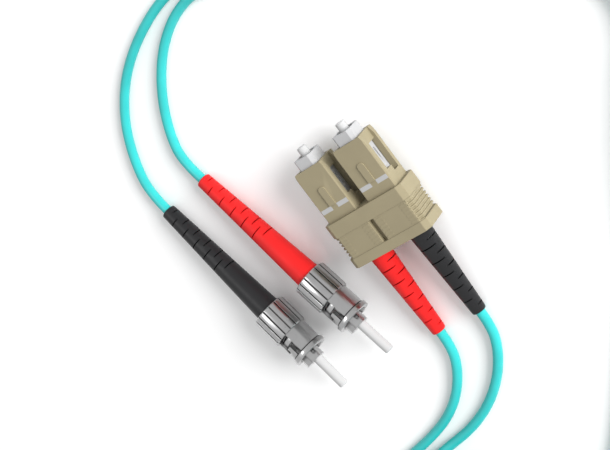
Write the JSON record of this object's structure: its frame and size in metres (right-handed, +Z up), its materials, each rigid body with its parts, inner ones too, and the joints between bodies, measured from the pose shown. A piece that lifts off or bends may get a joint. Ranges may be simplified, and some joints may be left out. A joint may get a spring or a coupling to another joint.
{
  "type": "fiber optic patch cord",
  "caption": "Duplex fibre optic patch cord: ST bayonet connectors with black and red boots at one end, clipped beige push-pull SC connectors at the other, aqua cables, spare length coiled",
  "frame": {"origin": "bottom centre of the box round the connectors, on the surface that the cord lies on", "axes": "+Z up from that surface; +X along the longer side of the box round the connectors; the SC pair points to heading 122 degrees and the ST pair to about -38 degrees from +X"},
  "size_m": [0.1387, 0.1766, 0.0123],
  "materials": {
    "nickel": "bright nickel plate",
    "nickel_body": "nickel plate",
    "steel": "plain spring steel",
    "ceramic": "polished zirconia ceramic",
    "crimp": "plain",
    "buffer": "satin",
    "aqua_jacket": "satin LSZH jacket",
    "black_boot": "satin moulded",
    "red_boot": "satin moulded",
    "beige_housing": "fine satin moulded",
    "grey_frame": "satin moulded"
  },
  "bodies": {
    "cable_assembly": {"cable_black_st": "aqua_jacket", "cable_red_st": "aqua_jacket", "cable_red_sc": "aqua_jacket", "cable_black_sc": "aqua_jacket", "cable_coil": "aqua_jacket", "st_black_spring": "steel", "st_black_retaining_clip": "steel", "st_black_body": "nickel_body", "st_black_ferrule": "ceramic", "st_black_crimp_sleeve": "crimp", "st_black_buffer": "buffer", "st_black_jacket_end": "aqua_jacket", "st_black_boot": "black_boot", "st_red_spring": "steel", "st_red_retaining_clip": "steel", "st_red_body": "nickel_body", "st_red_ferrule": "ceramic", "st_red_crimp_sleeve": "crimp", "st_red_buffer": "buffer", "st_red_jacket_end": "aqua_jacket", "st_red_boot": "red_boot", "sc_left_plug_frame": "grey_frame", "sc_left_spring": "steel", "sc_left_rear_body": "grey_frame", "sc_left_crimp_sleeve": "crimp", "sc_left_buffer": "buffer", "sc_left_jacket_end": "aqua_jacket", "sc_left_boot": "red_boot", "sc_right_plug_frame": "grey_frame", "sc_right_spring": "steel", "sc_right_rear_body": "grey_frame", "sc_right_crimp_sleeve": "crimp", "sc_right_buffer": "buffer", "sc_right_jacket_end": "aqua_jacket", "sc_right_boot": "black_boot"},
    "sc_grip": {"duplex_clip": "beige_housing", "sc_left_outer_housing": "beige_housing", "sc_right_outer_housing": "beige_housing"},
    "sc_left_ferrule_unit": {"sc_left_ferrule": "ceramic", "sc_left_ferrule_flange": "steel"},
    "sc_right_ferrule_unit": {"sc_right_ferrule": "ceramic", "sc_right_ferrule_flange": "steel"},
    "st_black_washer": {"st_black_thrust_washer": "steel"},
    "st_black_nut": {"st_black_coupling_nut": "nickel"},
    "st_red_washer": {"st_red_thrust_washer": "steel"},
    "st_red_nut": {"st_red_coupling_nut": "nickel"}
  },
  "joints": [
    {"name": "sc_grip_slide", "type": "slide", "parent": "cable_assembly", "child": "sc_grip", "axis": [-0.5265, 0.8426, 0.1132], "range_m": [-0.002, 0]},
    {"name": "sc_left_ferrule_slide", "type": "slide", "parent": "cable_assembly", "child": "sc_left_ferrule_unit", "axis": [-0.5265, 0.8426, 0.1132], "range_m": [-0.001, 0], "stiffness_N_per_m": 1500, "springref_m": 0.005, "deforming": ["sc_left_spring"]},
    {"name": "sc_right_ferrule_slide", "type": "slide", "parent": "cable_assembly", "child": "sc_right_ferrule_unit", "axis": [-0.5265, 0.8426, 0.1132], "range_m": [-0.001, 0], "stiffness_N_per_m": 1500, "springref_m": 0.005, "deforming": ["sc_right_spring"]},
    {"name": "st_black_nut_slide", "type": "slide", "parent": "cable_assembly", "child": "st_black_washer", "axis": [0.7716, -0.6315, 0.0767], "range_m": [0, 0.0012], "stiffness_N_per_m": 800, "springref_m": -0.004, "deforming": ["st_black_spring"]},
    {"name": "st_black_nut_turn", "type": "hinge", "parent": "st_black_washer", "child": "st_black_nut", "pos_m": [-0.01093, -0.02027, 0.00519], "axis": [0.7716, -0.6315, 0.0767], "continuous": true},
    {"name": "st_red_nut_slide", "type": "slide", "parent": "cable_assembly", "child": "st_red_washer", "axis": [0.7963, -0.6, 0.0767], "range_m": [0, 0.0012], "stiffness_N_per_m": 800, "springref_m": -0.004, "deforming": ["st_red_spring"]},
    {"name": "st_red_nut_turn", "type": "hinge", "parent": "st_red_washer", "child": "st_red_nut", "pos_m": [0.00199, -0.00941, 0.00519], "axis": [0.7963, -0.6, 0.0767], "continuous": true}
  ]
}
